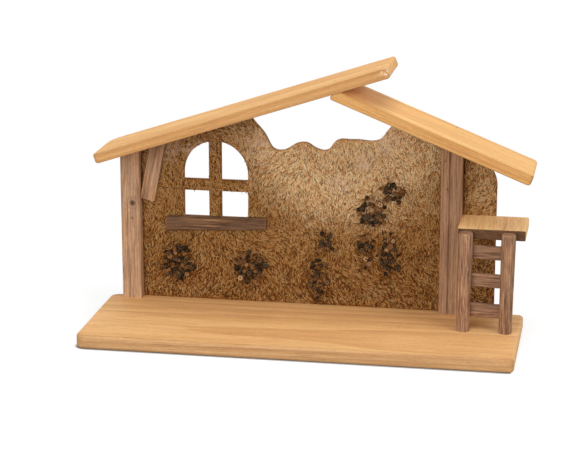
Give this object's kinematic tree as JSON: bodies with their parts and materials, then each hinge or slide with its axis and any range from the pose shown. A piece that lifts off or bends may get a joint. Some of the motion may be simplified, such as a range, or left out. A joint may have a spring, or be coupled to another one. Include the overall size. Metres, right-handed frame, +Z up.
{
  "type": "nativity stable",
  "caption": "Small open wooden nativity stable: pine base, posts, lapped board roof, straw-covered back wall with wavy top and arched window, and a side ledge over a rail fence.",
  "frame": {"origin": "middle of the base board's underside, where the stable stands", "axes": "+X to the right seen from the front, along the base's length; +Y to the straw wall at the back; +Z up"},
  "size_m": [0.4083, 0.1376, 0.2555],
  "materials": {
    "pine": "sanded, oiled",
    "weathered_wood": "grey-brown, weathered",
    "dark_wood": "dark stained, rough",
    "wall_board": "raw hardboard",
    "straw": "glued chopped straw",
    "seeds": "dried, dull",
    "steel": "plain steel"
  },
  "bodies": {
    "root": {"base_board": "pine", "left_post": "weathered_wood", "right_post": "dark_wood", "roof_board_left": "pine", "roof_board_right": "pine", "back_board": "wall_board", "straw_coat_main": "straw", "straw_coat_right": "straw", "window_sill": "dark_wood", "left_brace": "weathered_wood", "ledge_board": "pine", "fence_post_left": "weathered_wood", "fence_post_right": "weathered_wood", "fence_rail_bottom": "weathered_wood", "fence_rail_middle": "weathered_wood", "fence_rail_top": "weathered_wood", "seeds_by_left_post": "seeds", "seeds_below_window": "seeds", "seeds_middle_high": "seeds", "seeds_middle_low": "seeds", "seeds_right_high": "seeds", "seeds_right_low": "seeds", "wall_tacks": "steel", "roof_nails": "steel", "post_screws": "steel", "fence_pins": "steel"}
  },
  "joints": []
}
